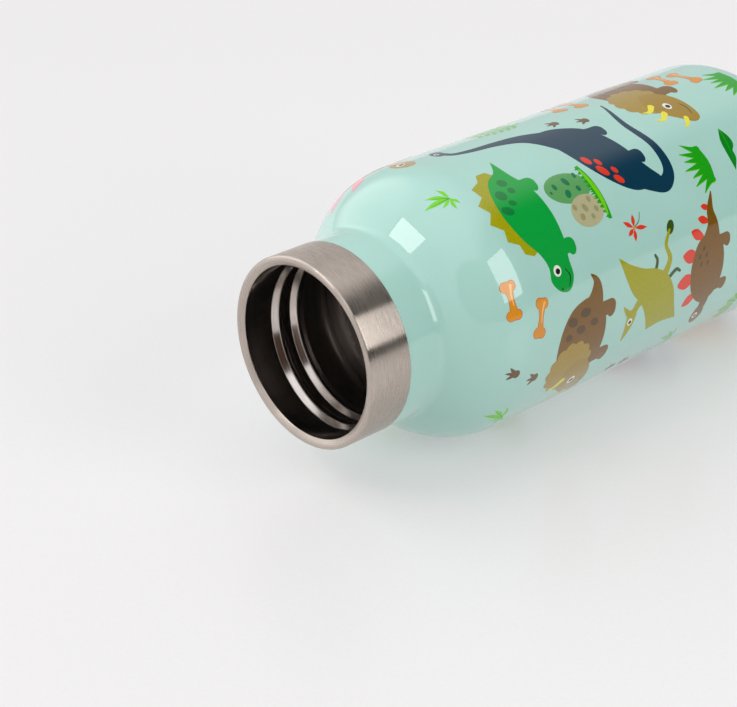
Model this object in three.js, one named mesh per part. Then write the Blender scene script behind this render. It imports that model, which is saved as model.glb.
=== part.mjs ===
// Double-wall vacuum bottle for a child, lying on its side with its mouth open.
//
// Frame: millimetres, +Z up. The bottle's axis runs along X, with the mouth towards -X
// and the base towards +X. The origin is on the surface that the bottle lies on, below
// the middle of its length.
//
// Every round piece is turned from a section of [s, r] points, where s is the distance
// from the rim along the axis and r the distance from the axis.

import * as THREE from 'three';

// Outside
const BODY_RADIUS = 36.5;
const NECK_RADIUS = 24.9;
const RING_RADIUS = 25.05;
const RING_LENGTH = 13.1;
const SHOULDER_END = 45.3; // where the straight body begins
const SHOULDER_RADIUS = 24;
const SHOULDER_TURN = THREE.MathUtils.degToRad(46); // slope of the flank below the neck
const NECK_FILLET = 4;
const CORNER_START = 154.5; // where the straight body ends
const CORNER_RADIUS = 16; // upper part of the rounding at the base
const CORNER_TURN = THREE.MathUtils.degToRad(55); // how far that arc turns
const FOOT_RADIUS = 6; // the tighter arc that runs on into the standing ring

// Walls and gaps
const SHELL_WALL = 0.5;
const LINER_WALL = 0.4;
const RING_WALL = 0.65;
const SEAM = 0.35; // clearance where two sheets meet at a weld
const LINER_RADIUS = 33.6; // outside of the inner flask

// Mouth
const BORE_RADIUS = 22.5;
const LIP_THICKNESS = 0.85;
const RIM_BEVEL = 0.6; // inside the mouth
const RIM_CORNER = 0.5; // outside it

// Screw thread rolled into the neck of the liner, right-handed
const THREAD_PITCH = 6.2;
const THREAD_TURNS = 2.15;
const THREAD_START = 7.2; // s of the rib's middle at the top of the neck, first turn
const RIB_HEIGHT = 1.15;
const RIB_WIDTH = 4.5;
const RIB_FLANK = 2; // along the axis, from the rib's foot to its crest
const FADE_TURN = 0.12; // part of a turn over which the rib rises or runs out
const THREAD_ROW = 0.85; // spacing of the mesh rows across the ribs

// Inner flask
const LINER_SHOULDER_END = 46.8;
const LINER_FILLET = 6;
const LINER_FLOOR = 161; // outside of the flask's bottom
const LINER_CORNER = 11;
const LINER_BASE_RADIUS = 21;
const DISH_DEPTH = 1.2;

// Foil
const FOIL_RADIUS = 34.3;
const FOIL_WALL = 0.2;
const FOIL_START = 52;
const FOIL_END = 146;

// Base
const FOOT_LAND = 1; // width of the shell's flat edge on the standing plane
const RECESS = 3;
const DIMPLE_RADIUS = 4;
const DIMPLE_DEPTH = 1;
const PUMP_HOLE_RADIUS = 0.8;
const BEAD_HEIGHT = 0.7;
const COVER_THICKNESS = 0.5;
const COVER_CLEARANCE = 0.6; // between the cover disc's edge and the recess wall

// Getter
const GETTER_OFFSET = 13; // from the bottle's axis
const GETTER_RADIUS = 3.4;
const GETTER_HEIGHT = 1.1;
const HOLDER_WALL = 0.4;

const SEGMENTS = 40;
const SMALL_SEGMENTS = 20;
const HALF_TURN = Math.PI;

// The corner is two arcs; their ends fix the bottle's length and its standing ring.
const cornerCentre = [CORNER_START, BODY_RADIUS - CORNER_RADIUS];
const footCentre = [
  cornerCentre[0] + (CORNER_RADIUS - FOOT_RADIUS) * Math.sin(CORNER_TURN),
  cornerCentre[1] + (CORNER_RADIUS - FOOT_RADIUS) * Math.cos(CORNER_TURN),
];
const BOTTLE_LENGTH = footCentre[0] + FOOT_RADIUS;
const STANDING_RADIUS = footCentre[1];
const AXIS_HEIGHT = BODY_RADIUS * Math.cos(Math.PI / SEGMENTS); // a facet lies on the floor

// Points on an arc about centre, from one turn to another. A turn of 0 is the point
// farthest from the axis; positive turns go towards the base, negative ones to the mouth.
function arc(centre, radius, from, to, steps) {
  const points = [];
  for (let i = 0; i <= steps; i += 1) {
    const turn = from + ((to - from) * i) / steps;
    points.push([centre[0] + radius * Math.sin(turn), centre[1] + radius * Math.cos(turn)]);
  }
  return points;
}

// Outer line of a neck that flares through a fillet into a straight flank and a round
// shoulder. The line is moved inwards by inset, so one set of radii gives both faces of
// a wall.
function neckAndShoulder(neck, fillet, body, shoulder, shoulderEnd, inset) {
  const shoulderCentre = [shoulderEnd, body - shoulder];
  const flankTop = [
    shoulderEnd - shoulder * Math.sin(SHOULDER_TURN),
    shoulderCentre[1] + shoulder * Math.cos(SHOULDER_TURN),
  ];
  const flankFoot = flankTop[0] - (flankTop[1] - neck) / Math.tan(SHOULDER_TURN);
  const filletCentre = [flankFoot - fillet * Math.tan(SHOULDER_TURN / 2), neck + fillet];
  return [
    ...arc(filletCentre, fillet + inset, HALF_TURN, HALF_TURN - SHOULDER_TURN, 4),
    ...arc(shoulderCentre, shoulder - inset, -SHOULDER_TURN, 0, 6),
  ];
}

// The rounding at the base, moved inwards by inset.
function baseCorner(inset) {
  return [
    ...arc(cornerCentre, CORNER_RADIUS - inset, 0, CORNER_TURN, 4),
    ...arc(footCentre, FOOT_RADIUS - inset, CORNER_TURN, Math.PI / 2, 2).slice(1),
  ];
}

// Turns a section into a solid. A section listed from the mouth along its outer side
// and back along its inner side gives faces that point out.
function turned(section, segments = SEGMENTS) {
  const profile = section.map(([s, r]) => new THREE.Vector2(r, s));
  const onAxis = section[0][1] === 0;
  if (!onAxis) profile.push(profile[0].clone());
  return new THREE.LatheGeometry(profile, segments, Math.PI / segments);
}

function material(color, roughness, metalness) {
  return new THREE.MeshStandardMaterial({ color, roughness, metalness });
}

function part(name, geometry, look) {
  const mesh = new THREE.Mesh(geometry, look);
  mesh.name = name;
  return mesh;
}

// Painted outer wall. Its neck steps in under the mouth ring.
function outerShell() {
  const linerNeck = BORE_RADIUS + LINER_WALL;
  const neckInside = linerNeck + SEAM;
  const neckOutside = neckInside + SHELL_WALL;
  const neckTop = LIP_THICKNESS + SEAM;
  const step = RING_LENGTH + SEAM;
  const outside = [
    [neckTop, neckOutside],
    [step, neckOutside],
    [step, NECK_RADIUS],
    ...neckAndShoulder(NECK_RADIUS, NECK_FILLET, BODY_RADIUS, SHOULDER_RADIUS, SHOULDER_END, 0),
    ...baseCorner(0),
    [BOTTLE_LENGTH, STANDING_RADIUS - FOOT_LAND],
  ];
  const inside = [
    [step + SHELL_WALL, neckInside],
    [step + SHELL_WALL, NECK_RADIUS - SHELL_WALL],
    ...neckAndShoulder(
      NECK_RADIUS, NECK_FILLET, BODY_RADIUS, SHOULDER_RADIUS, SHOULDER_END, SHELL_WALL,
    ),
    ...baseCorner(SHELL_WALL),
    [BOTTLE_LENGTH - SHELL_WALL, STANDING_RADIUS - FOOT_LAND],
  ];
  const section = [...outside, ...inside.reverse(), [neckTop, neckInside]];
  return part('outer_shell', turned(section), material(0xb5ded4, 0.15, 0));
}

// Bare steel collar: a thin sleeve with a thicker lip that forms the rim.
function mouthRing() {
  const inside = RING_RADIUS - RING_WALL;
  const section = [
    [0, BORE_RADIUS + RIM_BEVEL],
    [0, RING_RADIUS - RIM_CORNER],
    [RIM_CORNER, RING_RADIUS],
    [RING_LENGTH, RING_RADIUS],
    [RING_LENGTH, inside],
    [LIP_THICKNESS, inside],
    [LIP_THICKNESS, BORE_RADIUS],
    [RIM_BEVEL, BORE_RADIUS],
  ];
  return part('mouth_ring', turned(section), material(0xa89f97, 0.3, 1));
}

// How far the thread stands in from the bore at one place: a rib with straight flanks on
// a helix, which rises and runs out gently at its two ends.
function threadHeight(s, angle) {
  let height = 0;
  for (let turn = 0; turn <= THREAD_TURNS; turn += 1) {
    const along = turn + angle / (2 * Math.PI);
    const offset = Math.abs(s - THREAD_START - THREAD_PITCH * along);
    const swell = THREE.MathUtils.clamp((RIB_WIDTH / 2 - offset) / RIB_FLANK, 0, 1);
    const ends = Math.min(along, THREAD_TURNS - along) / FADE_TURN;
    height = Math.max(height, RIB_HEIGHT * swell * THREE.MathUtils.clamp(ends, 0, 1));
  }
  return height;
}

// Inner wall of the bottle, from the weld behind the rim to its rounded bottom edge.
function innerLiner() {
  const neckTop = LIP_THICKNESS + SEAM;
  const threadEnd = THREAD_START + THREAD_PITCH * THREAD_TURNS + RIB_WIDTH / 2;
  const shoulder = SHOULDER_RADIUS - (BODY_RADIUS - LINER_RADIUS);
  const corner = [LINER_FLOOR - LINER_CORNER, LINER_RADIUS - LINER_CORNER];
  const line = (inset) => [
    ...neckAndShoulder(
      BORE_RADIUS + LINER_WALL, LINER_FILLET, LINER_RADIUS, shoulder, LINER_SHOULDER_END, inset,
    ),
    ...arc(corner, LINER_CORNER - inset, 0, Math.PI / 2, 4),
    [LINER_FLOOR - inset, LINER_BASE_RADIUS + SEAM],
  ];
  const rows = [];
  for (let s = neckTop; s < threadEnd; s += THREAD_ROW) rows.push([s, BORE_RADIUS]);
  const section = [[neckTop, BORE_RADIUS + LINER_WALL], ...line(0)];
  section.push(...line(LINER_WALL).reverse(), ...rows.reverse());
  const geometry = turned(section);
  const position = geometry.attributes.position;
  for (let i = 0; i < position.count; i += 1) {
    const radius = Math.hypot(position.getX(i), position.getZ(i));
    const inBore = radius < BORE_RADIUS + LINER_WALL / 2 && position.getY(i) < threadEnd;
    if (!inBore) continue;
    const angle = Math.atan2(position.getX(i), position.getZ(i));
    const fullAngle = angle < 0 ? angle + 2 * Math.PI : angle;
    const pushed = (radius - threadHeight(position.getY(i), fullAngle)) / radius;
    position.setX(i, position.getX(i) * pushed);
    position.setZ(i, position.getZ(i) * pushed);
  }
  return part('inner_liner', geometry, material(0x6b6560, 0.3, 1));
}

// Dished disc that closes the inner flask.
function linerBase() {
  const inner = LINER_FLOOR - LINER_WALL;
  const section = [
    [inner - DISH_DEPTH, 0],
    [inner - DISH_DEPTH, LINER_BASE_RADIUS / 2],
    [inner, LINER_BASE_RADIUS - DISH_DEPTH],
    [inner, LINER_BASE_RADIUS],
    [LINER_FLOOR, LINER_BASE_RADIUS],
    [LINER_FLOOR, LINER_BASE_RADIUS - DISH_DEPTH],
    [LINER_FLOOR - DISH_DEPTH, LINER_BASE_RADIUS / 2],
    [LINER_FLOOR - DISH_DEPTH, 0],
  ];
  return part('liner_base', turned(section), material(0x6b6560, 0.3, 1));
}

function radiationFoil() {
  const section = [
    [FOIL_START, FOIL_RADIUS + FOIL_WALL],
    [FOIL_END, FOIL_RADIUS + FOIL_WALL],
    [FOIL_END, FOIL_RADIUS],
    [FOIL_START, FOIL_RADIUS],
  ];
  return part('radiation_foil', turned(section), material(0xb87349, 0.35, 1));
}

// Outer bottom: a shallow cup in the shell's lower opening, with a dimple round the
// hole that the bottle was pumped out through.
function outerBase() {
  const rimOutside = STANDING_RADIUS - FOOT_LAND - SEAM;
  const rimInside = rimOutside - SHELL_WALL;
  const face = BOTTLE_LENGTH - RECESS;
  const back = face - SHELL_WALL;
  const section = [
    [back - DIMPLE_DEPTH, PUMP_HOLE_RADIUS],
    [back - DIMPLE_DEPTH, DIMPLE_RADIUS],
    [back, DIMPLE_RADIUS + DIMPLE_DEPTH],
    [back, rimOutside],
    [BOTTLE_LENGTH, rimOutside],
    [BOTTLE_LENGTH, rimInside],
    [face, rimInside],
    [face, DIMPLE_RADIUS + DIMPLE_DEPTH],
    [face - DIMPLE_DEPTH, DIMPLE_RADIUS],
    [face - DIMPLE_DEPTH, PUMP_HOLE_RADIUS],
  ];
  return part('outer_base', turned(section), material(0xa7a39f, 0.3, 1));
}

// Domed bead of glass solder in the dimple.
function sealBead() {
  const foot = BOTTLE_LENGTH - RECESS - DIMPLE_DEPTH + SEAM;
  const radius = DIMPLE_RADIUS - SEAM;
  const section = [
    [foot, 0],
    [foot, radius],
    [foot + BEAD_HEIGHT / 2, radius * 0.85],
    [foot + BEAD_HEIGHT, 0],
  ];
  return part('seal_bead', turned(section, SMALL_SEGMENTS), material(0x39424a, 0.2, 0));
}

// Flat disc that covers the sealed hole.
function baseCover() {
  const radius = STANDING_RADIUS - FOOT_LAND - SEAM - SHELL_WALL - COVER_CLEARANCE;
  const foot = BOTTLE_LENGTH - RECESS + SEAM;
  const section = [
    [foot, 0],
    [foot, radius],
    [foot + COVER_THICKNESS, radius],
    [foot + COVER_THICKNESS, 0],
  ];
  return part('base_cover', turned(section), material(0xa7a39f, 0.3, 1));
}

// Getter: a tablet in a small cup that hangs on the back of the flask's bottom.
function getterParts() {
  const foot = LINER_FLOOR + SEAM;
  const cupInside = GETTER_RADIUS + SEAM;
  const cupEnd = foot + HOLDER_WALL + SEAM + GETTER_HEIGHT;
  const cup = [
    [foot, 0],
    [foot, cupInside + HOLDER_WALL],
    [cupEnd, cupInside + HOLDER_WALL],
    [cupEnd, cupInside],
    [foot + HOLDER_WALL, cupInside],
    [foot + HOLDER_WALL, 0],
  ];
  const tablet = [
    [cupEnd - GETTER_HEIGHT, 0],
    [cupEnd - GETTER_HEIGHT, GETTER_RADIUS],
    [cupEnd, GETTER_RADIUS],
    [cupEnd, 0],
  ];
  const getter = new THREE.Group();
  getter.position.x = GETTER_OFFSET;
  getter.add(
    part('getter_holder', turned(cup, SMALL_SEGMENTS), material(0x9a9896, 0.4, 1)),
    part('getter_pellet', turned(tablet, SMALL_SEGMENTS), material(0x4d4b4a, 0.8, 0)),
  );
  return getter;
}

// Sections are turned about Y, so the bottle is laid down with its mouth towards -X.
const bottle = new THREE.Group();
bottle.rotation.z = -Math.PI / 2;
bottle.position.set(-BOTTLE_LENGTH / 2, 0, AXIS_HEIGHT);
bottle.add(
  outerShell(), mouthRing(), innerLiner(), linerBase(), radiationFoil(),
  outerBase(), sealBead(), baseCover(), getterParts(),
);

export default bottle;
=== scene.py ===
"""A child's insulated steel water bottle, lying on its side with its mouth open.

The axis runs along X, with the mouth towards -X. Sizes are in millimetres and become
metres where a mesh is made. A place along the bottle is s, the distance from the rim. A
place round it is v, the distance round the body from its top towards -Y.
"""

import math

import bpy
import numpy as np
from mathutils import Matrix, Vector
from mathutils.geometry import delaunay_2d_cdt


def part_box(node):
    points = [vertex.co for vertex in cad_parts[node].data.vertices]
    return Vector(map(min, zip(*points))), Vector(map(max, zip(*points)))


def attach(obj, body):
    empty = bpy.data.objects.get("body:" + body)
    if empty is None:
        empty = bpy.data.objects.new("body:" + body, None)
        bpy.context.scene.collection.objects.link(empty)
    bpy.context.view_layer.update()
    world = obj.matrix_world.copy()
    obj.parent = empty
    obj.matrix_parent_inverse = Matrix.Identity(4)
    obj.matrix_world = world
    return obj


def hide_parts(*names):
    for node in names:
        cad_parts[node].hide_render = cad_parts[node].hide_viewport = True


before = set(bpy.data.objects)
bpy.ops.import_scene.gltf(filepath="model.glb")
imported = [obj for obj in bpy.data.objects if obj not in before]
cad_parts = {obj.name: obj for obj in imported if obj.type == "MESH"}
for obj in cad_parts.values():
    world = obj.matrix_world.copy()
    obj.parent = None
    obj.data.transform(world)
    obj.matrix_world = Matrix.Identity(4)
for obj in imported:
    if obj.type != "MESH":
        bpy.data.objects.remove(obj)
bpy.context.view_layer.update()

MM = 0.001

# Outside
BODY_RADIUS = 36.5
NECK_RADIUS = 24.9
RING_RADIUS = 25.05
RING_LENGTH = 13.1
SHOULDER_END = 45.3
SHOULDER_RADIUS = 24.0
SHOULDER_TURN = math.radians(46)  # slope of the flank below the neck
NECK_FILLET = 4.0
CORNER_START = 154.5
CORNER_RADIUS = 16.0
CORNER_TURN = math.radians(55)
FOOT_RADIUS = 6.0

# Walls
SHELL_WALL = 0.5
LINER_WALL = 0.4
RING_WALL = 0.65
SEAM = 0.35
LINER_RADIUS = 33.6
BORE_RADIUS = 22.5
LIP_THICKNESS = 1.1
CONTACT = 0.03  # what is left between two sheets that are welded together

# Thread
THREAD_PITCH = 6.2
THREAD_TURNS = 2.15
THREAD_START = 7.2
RIB_HEIGHT = 1.15
RIB_WIDTH = 4.5
RIB_FLANK = 2.0
FADE_TURN = 0.12
THREAD_ROW = 0.15

# Inner flask
LINER_SHOULDER_END = 46.8
LINER_FILLET = 6.0
LINER_FLOOR = 161.0
LINER_CORNER = 11.0
LINER_BASE_RADIUS = 21.0
DISH_DEPTH = 1.2

# Base
FOOT_LAND = 1.0
RECESS = 3.0
DIMPLE_RADIUS = 4.0
DIMPLE_DEPTH = 1.0
PUMP_HOLE_RADIUS = 0.8
COVER_THICKNESS = 0.5
COVER_CLEARANCE = 0.6

SEGMENTS = 256
SHARP_ANGLE = math.radians(32)

# Prints
PRINT_LIFT = 0.03  # height of the ink over the paint
PRINT_ROOT = -0.04  # how far its underside reaches into the paint
PRINT_EDGE = 0.6  # longest edge of an outline
PRINT_GRID = 1.3  # spacing of the points inside
CURVE_STEPS = 8  # points on each span of a drawn curve

CORNER_CENTRE = (CORNER_START, BODY_RADIUS - CORNER_RADIUS)
FOOT_CENTRE = (
    CORNER_CENTRE[0] + (CORNER_RADIUS - FOOT_RADIUS) * math.sin(CORNER_TURN),
    CORNER_CENTRE[1] + (CORNER_RADIUS - FOOT_RADIUS) * math.cos(CORNER_TURN),
)
BOTTLE_LENGTH = FOOT_CENTRE[0] + FOOT_RADIUS
STANDING_RADIUS = FOOT_CENTRE[1]

shell_low, shell_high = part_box("outer_shell")
RIM_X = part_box("mouth_ring")[0].x
AXIS_Z = (shell_low.z + shell_high.z) / 2
ROUND = (shell_high.z - shell_low.z) / 2 / BODY_RADIUS  # metres per millimetre of radius

scene = bpy.context.scene


# ---------------------------------------------------------------- turned pieces


def at(s, r, angle):
    """Points in the row frame, for places on a turned surface."""
    s, r, angle = np.broadcast_arrays(s, r, angle)
    x = RIM_X + s * MM
    y = -r * ROUND * np.sin(angle)
    z = AXIS_Z + r * ROUND * np.cos(angle)
    return np.stack([x, y, z], axis=-1)


def arc(centre, radius, start, end, steps):
    """Section points on an arc. A turn of 0 is farthest from the axis."""
    turns = np.linspace(start, end, steps + 1)
    return [(centre[0] + radius * math.sin(t), centre[1] + radius * math.cos(t)) for t in turns]


def neck_and_shoulder(neck, fillet, body, shoulder, end, inset):
    """A neck that flares into a straight flank and a round shoulder, moved inwards by inset."""
    turn = SHOULDER_TURN
    centre = (end, body - shoulder)
    flank_top = (end - shoulder * math.sin(turn), centre[1] + shoulder * math.cos(turn))
    flank_foot = flank_top[0] - (flank_top[1] - neck) / math.tan(turn)
    fillet_centre = (flank_foot - fillet * math.tan(turn / 2), neck + fillet)
    flare = arc(fillet_centre, fillet + inset, math.pi, math.pi - turn, 16)
    return flare + arc(centre, shoulder - inset, -turn, 0, 24)


def base_corner(inset):
    """The rounding at the base, moved inwards by inset."""
    upper = arc(CORNER_CENTRE, CORNER_RADIUS - inset, 0, CORNER_TURN, 14)
    return upper + arc(FOOT_CENTRE, FOOT_RADIUS - inset, CORNER_TURN, math.pi / 2, 10)[1:]


def rounded(corners, steps=4):
    """A section in which each (s, r, size) corner is rounded off by that size."""
    points = []
    for i, corner in enumerate(corners):
        here = Vector(corner[:2])
        if len(corner) == 2:
            points.append(tuple(here))
            continue
        back = Vector(corners[i - 1][:2]) - here
        on = Vector(corners[(i + 1) % len(corners)][:2]) - here
        start = here + back.normalized() * min(corner[2], back.length * 0.48)
        end = here + on.normalized() * min(corner[2], on.length * 0.48)
        for t in np.linspace(0, 1, steps + 1):
            points.append(tuple(start.lerp(here, t).lerp(here.lerp(end, t), t)))
    return points


def turned(name, section, material, shape=None, segments=SEGMENTS):
    """A mesh turned from a closed section, listed from the mouth along its outer side."""
    section = np.array(section, float)
    angles = np.arange(segments) * (2 * math.pi / segments)
    s = np.repeat(section[:, :1], segments, axis=1)
    r = np.repeat(section[:, 1:], segments, axis=1)
    if shape is not None:
        r = shape(s, r, angles[None, :])
    points = at(s, r, angles[None, :]).reshape(-1, 3)
    rows = len(section)
    index = np.arange(rows * segments).reshape(rows, segments)
    on_axis = section[:, 1] == 0
    index[on_axis] = index[on_axis, :1]
    faces = []
    for i in range(rows):
        j = (i + 1) % rows
        if on_axis[i] and on_axis[j]:
            continue
        here, there = index[i], index[j]
        rings = zip(here, np.roll(here, -1), np.roll(there, -1), there)
        faces.extend([list(dict.fromkeys(map(int, ring))) for ring in rings])
    used = sorted({corner for face in faces for corner in face})
    new = {old: k for k, old in enumerate(used)}
    mesh = bpy.data.meshes.new(name)
    mesh.from_pydata(points[used].tolist(), [], [[new[c] for c in face] for face in faces])
    mesh.materials.append(material)
    mesh.shade_smooth()
    mesh.set_sharp_from_angle(angle=SHARP_ANGLE)
    return mesh


def piece(mesh, stands_for=()):
    """Puts a mesh in the scene as a piece of the bottle."""
    made = bpy.data.objects.new(mesh.name, mesh)
    scene.collection.objects.link(made)
    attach(made, "root")
    if stands_for:
        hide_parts(*stands_for)


def thread_shape(s, r, angle):
    """Presses the thread's rib into the bore, to its full height between the two ends."""
    height = np.zeros(s.shape)
    for turn in range(int(THREAD_TURNS) + 1):
        along = turn + angle / (2 * math.pi)
        offset = np.abs(s - THREAD_START - THREAD_PITCH * along)
        rise = np.clip((RIB_WIDTH / 2 - offset) / RIB_FLANK, 0, 1)
        swell = np.where(rise < 0.75, rise, 0.75 + (rise - 0.75) * (1 - (rise - 0.75) * 2))
        ends = np.clip(np.minimum(along, THREAD_TURNS - along) / FADE_TURN, 0, 1)
        rib = swell * ends * ends * (3 - 2 * ends)
        height = np.maximum(height, RIB_HEIGHT * rib)
    in_bore = (r < BORE_RADIUS + LINER_WALL / 2) & (s < THREAD_START + 20)
    return r - height * in_bore


def outer_shell(material):
    """Painted outer wall. Its neck steps in under the mouth ring."""
    neck_inside = BORE_RADIUS + LINER_WALL + SEAM
    top = LIP_THICKNESS + SEAM
    step = RING_LENGTH + CONTACT
    start = [
        (top, neck_inside + SHELL_WALL),
        (step, neck_inside + SHELL_WALL),
        (step, NECK_RADIUS, 0.2),
    ]
    shoulder = (NECK_RADIUS, NECK_FILLET, BODY_RADIUS, SHOULDER_RADIUS, SHOULDER_END)
    outside = neck_and_shoulder(*shoulder, 0) + base_corner(0)
    land = [
        (BOTTLE_LENGTH, STANDING_RADIUS - FOOT_LAND, 0.15),
        (BOTTLE_LENGTH - SHELL_WALL, STANDING_RADIUS - FOOT_LAND),
    ]
    inside = base_corner(SHELL_WALL)[::-1] + neck_and_shoulder(*shoulder, SHELL_WALL)[::-1]
    end = [
        (step + SHELL_WALL, NECK_RADIUS - SHELL_WALL),
        (step + SHELL_WALL, neck_inside),
        (top, neck_inside),
    ]
    section = rounded(start + outside + land + inside + end)
    return turned("flask_outer_wall", section, material)


def mouth_ring(material):
    """Bare steel collar: a thin sleeve with a thicker lip that forms the rim."""
    inside = RING_RADIUS - RING_WALL
    section = rounded([
        (0, BORE_RADIUS + 1.3, 0.8),
        (0.1, RING_RADIUS - 0.5, 0.4),
        (0.55, RING_RADIUS, 0.3),
        (RING_LENGTH, RING_RADIUS, 0.15),
        (RING_LENGTH, inside),
        (LIP_THICKNESS, inside),
        (LIP_THICKNESS, BORE_RADIUS),
        (0.9, BORE_RADIUS, 0.5),
    ], steps=6)
    return turned("mouth_collar", section, material)


def inner_liner(material):
    """Inner wall, from the weld behind the rim to its rounded bottom edge."""
    top = LIP_THICKNESS + CONTACT
    shoulder = SHOULDER_RADIUS - (BODY_RADIUS - LINER_RADIUS)
    neck = (BORE_RADIUS + LINER_WALL, LINER_FILLET, LINER_RADIUS, shoulder, LINER_SHOULDER_END)
    corner = (LINER_FLOOR - LINER_CORNER, LINER_RADIUS - LINER_CORNER)

    def line(inset):
        """The wall's section from the neck to its bottom edge, moved inwards by inset."""
        bend = arc(corner, LINER_CORNER - inset, 0, math.pi / 2, 12)
        edge = (LINER_FLOOR - inset, LINER_BASE_RADIUS + CONTACT)
        return neck_and_shoulder(*neck, inset) + bend + [edge]

    inside = line(LINER_WALL)
    rows = [(s, BORE_RADIUS) for s in np.arange(inside[0][0] - THREAD_ROW, top, -THREAD_ROW)]
    section = [(top, BORE_RADIUS + LINER_WALL)] + line(0) + inside[::-1] + rows
    section.append((top, BORE_RADIUS))
    return turned("flask_liner", section, material, shape=thread_shape)


def liner_floor(material):
    """Dished disc that closes the inner flask."""
    inner = LINER_FLOOR - LINER_WALL
    section = rounded([
        (inner - DISH_DEPTH, 0),
        (inner - DISH_DEPTH, LINER_BASE_RADIUS / 2, 3),
        (inner, LINER_BASE_RADIUS - DISH_DEPTH, 1.5),
        (inner, LINER_BASE_RADIUS),
        (LINER_FLOOR, LINER_BASE_RADIUS),
        (LINER_FLOOR, LINER_BASE_RADIUS - DISH_DEPTH, 1.5),
        (LINER_FLOOR - DISH_DEPTH, LINER_BASE_RADIUS / 2, 3),
        (LINER_FLOOR - DISH_DEPTH, 0),
    ])
    return turned("flask_floor", section, material, segments=128)


def base_cup(material):
    """Shallow cup welded into the shell's lower opening, with its sealing dimple."""
    outside = STANDING_RADIUS - FOOT_LAND - CONTACT
    inside = outside - SHELL_WALL - SEAM
    face = BOTTLE_LENGTH - RECESS
    back = face - SHELL_WALL
    foot = DIMPLE_RADIUS + DIMPLE_DEPTH
    section = rounded([
        (back - DIMPLE_DEPTH, PUMP_HOLE_RADIUS),
        (back - DIMPLE_DEPTH, DIMPLE_RADIUS, 0.4),
        (back, foot, 0.4),
        (back, outside, 0.8),
        (BOTTLE_LENGTH, outside, 0.25),
        (BOTTLE_LENGTH, inside, 0.25),
        (face, inside, 0.9),
        (face, foot, 0.4),
        (face - DIMPLE_DEPTH, DIMPLE_RADIUS, 0.4),
        (face - DIMPLE_DEPTH, PUMP_HOLE_RADIUS),
    ], steps=6)
    return turned("base_cup", section, material)


def base_disc(material):
    """Disc over the sealed hole, with a shallow pressed ring and an eased edge."""
    radius = STANDING_RADIUS - FOOT_LAND - SHELL_WALL - 2 * SEAM - COVER_CLEARANCE
    foot = BOTTLE_LENGTH - RECESS + SEAM
    face = foot + COVER_THICKNESS
    section = rounded([
        (foot, 0),
        (foot, radius, 0.1),
        (face, radius, 0.2),
        (face, radius * 0.86, 0.5),
        (face - 0.25, radius * 0.83, 0.5),
        (face - 0.25, radius * 0.3, 0.5),
        (face - 0.1, radius * 0.27, 0.5),
        (face - 0.1, 0),
    ])
    return turned("base_disc", section, material)


# ---------------------------------------------------------------- drawing, in millimetres

# A drawing is a list of (ink, outline) layers, the last on top. It stands upright when
# the bottle does: x runs round the bottle and y up towards its mouth.


def spans(a, b, c, d):
    """Points on the Catmull-Rom spans from b to c."""
    t = np.linspace(0, 1, CURVE_STEPS, endpoint=False)[:, None, None]
    cubic = 3 * b - a - 3 * c + d
    curve = 2 * b + (c - a) * t + (2 * a - 5 * b + 4 * c - d) * t**2 + cubic * t**3
    return curve.transpose(1, 0, 2).reshape(-1, b.shape[1]) / 2


def outline(points, corners=()):
    """A smooth closed outline through the points, with a sharp corner at the listed ones."""
    b = np.array(points, float)
    a, c, d = np.roll(b, 1, 0), np.roll(b, -1, 0), np.roll(b, -2, 0)
    for k in corners:
        a[k] = 2 * b[k] - c[k]
        d[k - 1] = 2 * c[k - 1] - b[k - 1]
    return spans(a, b, c, d)


def open_curve(points):
    """A smooth open curve through the points."""
    p = np.array(points, float)
    p = np.vstack([2 * p[0] - p[1], p, 2 * p[-1] - p[-2]])
    return np.vstack([spans(p[:-3], p[1:-2], p[2:-1], p[3:]), p[-2:-1]])


def stroke(points):
    """A brush stroke through (x, y, width) points, round at both ends."""
    line = open_curve(points)
    along = np.gradient(line[:, :2], axis=0)
    along /= np.linalg.norm(along, axis=1)[:, None]
    side = np.stack([-along[:, 1], along[:, 0]], axis=1)
    half = np.maximum(line[:, 2:], 0.08) / 2
    turns = np.linspace(0, math.pi, 8)[1:-1, None]
    tip = line[-1, :2] + half[-1] * (side[-1] * np.cos(turns) + along[-1] * np.sin(turns))
    tail = line[0, :2] - half[0] * (side[0] * np.cos(turns) + along[0] * np.sin(turns))
    left, right = line[:, :2] + side * half, line[:, :2] - side * half
    return np.vstack([left, tip, right[::-1], tail])


def ellipse(x, y, rx, ry=None, turn=0.0):
    """An ellipse with its first radius along x before it is turned, in degrees."""
    t = np.linspace(0, 2 * math.pi, 28, endpoint=False)
    flat = np.stack([rx * np.cos(t), (rx if ry is None else ry) * np.sin(t)], axis=1)
    return flat @ rotation(turn) + (x, y)


def rotation(turn):
    """Matrix that turns row vectors counterclockwise by that many degrees."""
    c, s = math.cos(math.radians(turn)), math.sin(math.radians(turn))
    return np.array([[c, s], [-s, c]])


def leaf(x0, y0, x1, y1, width, bend=0.0):
    """A pointed leaf from its foot to its tip. A positive bend bows it to the left."""
    foot, tip = np.array([x0, y0]), np.array([x1, y1])
    along = tip - foot
    side = np.array([-along[1], along[0]]) / np.linalg.norm(along)
    points = [foot]
    for part, share in ((0.3, 0.85), (0.6, 1.0)):
        points.append(foot + along * part + side * (bend * part + width * share / 2))
    points.append(tip + side * bend * 0.4)
    for part, share in ((0.6, 1.0), (0.3, 0.85)):
        points.append(foot + along * part + side * (bend * part - width * share / 2))
    return outline(points, corners=(0, 3))


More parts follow.
